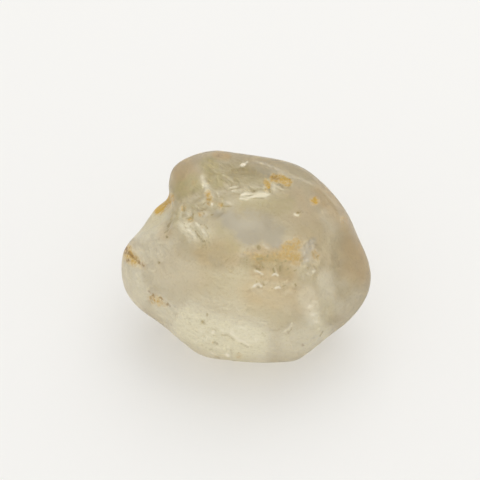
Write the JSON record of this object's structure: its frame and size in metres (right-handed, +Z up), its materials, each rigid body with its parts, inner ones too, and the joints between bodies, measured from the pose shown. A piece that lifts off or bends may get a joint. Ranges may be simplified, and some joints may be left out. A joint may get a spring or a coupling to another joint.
{
  "type": "topaz crystal",
  "caption": "Water-worn, frosted topaz crystal: a see-through straw-grey pebble with a rounded knob, a chipped scar, a smooth hollow, sunken pits and a flat cleavage base.",
  "frame": {"origin": "middle of the bounding box's foot, on the plane that the stone rests on", "axes": "+X along the stone's length, from its pointed left tip to its right lobe; +Z up, square to the cleavage base, and the shortest way; -Y towards the viewer, who looks down on the face at about 50 degrees"},
  "size_m": [0.028, 0.022, 0.02],
  "materials": {
    "frosted_topaz": "satin"
  },
  "bodies": {
    "root": {"topaz_crystal": "frosted_topaz"}
  },
  "joints": []
}
